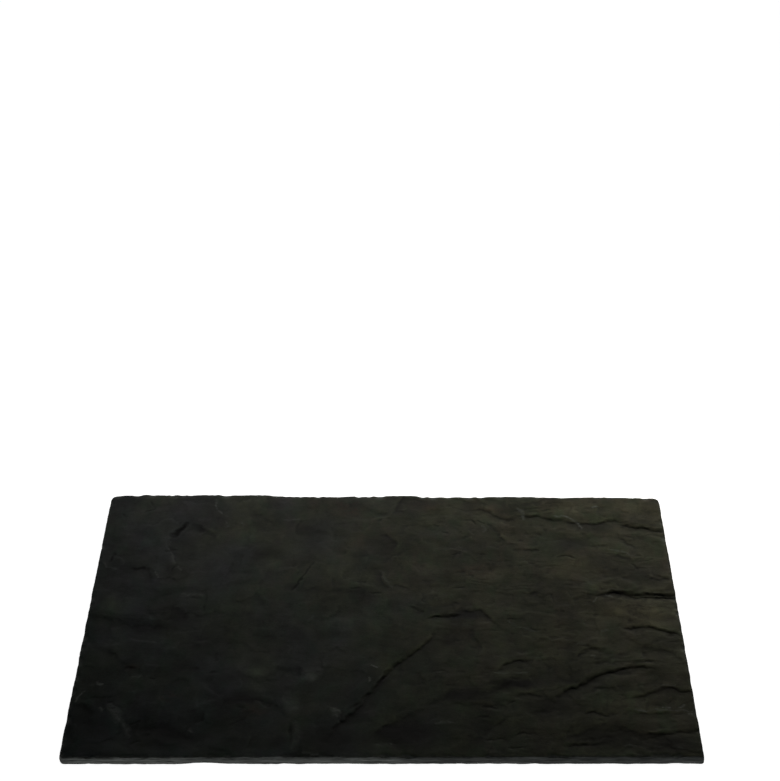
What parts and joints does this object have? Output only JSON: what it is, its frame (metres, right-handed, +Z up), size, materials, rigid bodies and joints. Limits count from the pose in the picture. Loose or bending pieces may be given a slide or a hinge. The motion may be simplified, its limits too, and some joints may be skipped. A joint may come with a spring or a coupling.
{
  "type": "slate slab",
  "caption": "Thin rectangular slab of riven dark slate with a stepped cleft top, rough dressed edges and a flat underside to rest on.",
  "frame": {"origin": "under the middle of the slab's outline, on the plane it rests on", "axes": "+X along the length, +Y from the front edge to the rear edge, +Z up through the thickness"},
  "size_m": [0.3002, 0.2018, 0.005],
  "materials": {
    "slate": "riven, satin, dark grey with an olive and brown cast"
  },
  "bodies": {
    "root": {"slate_slab": "slate"}
  },
  "joints": []
}
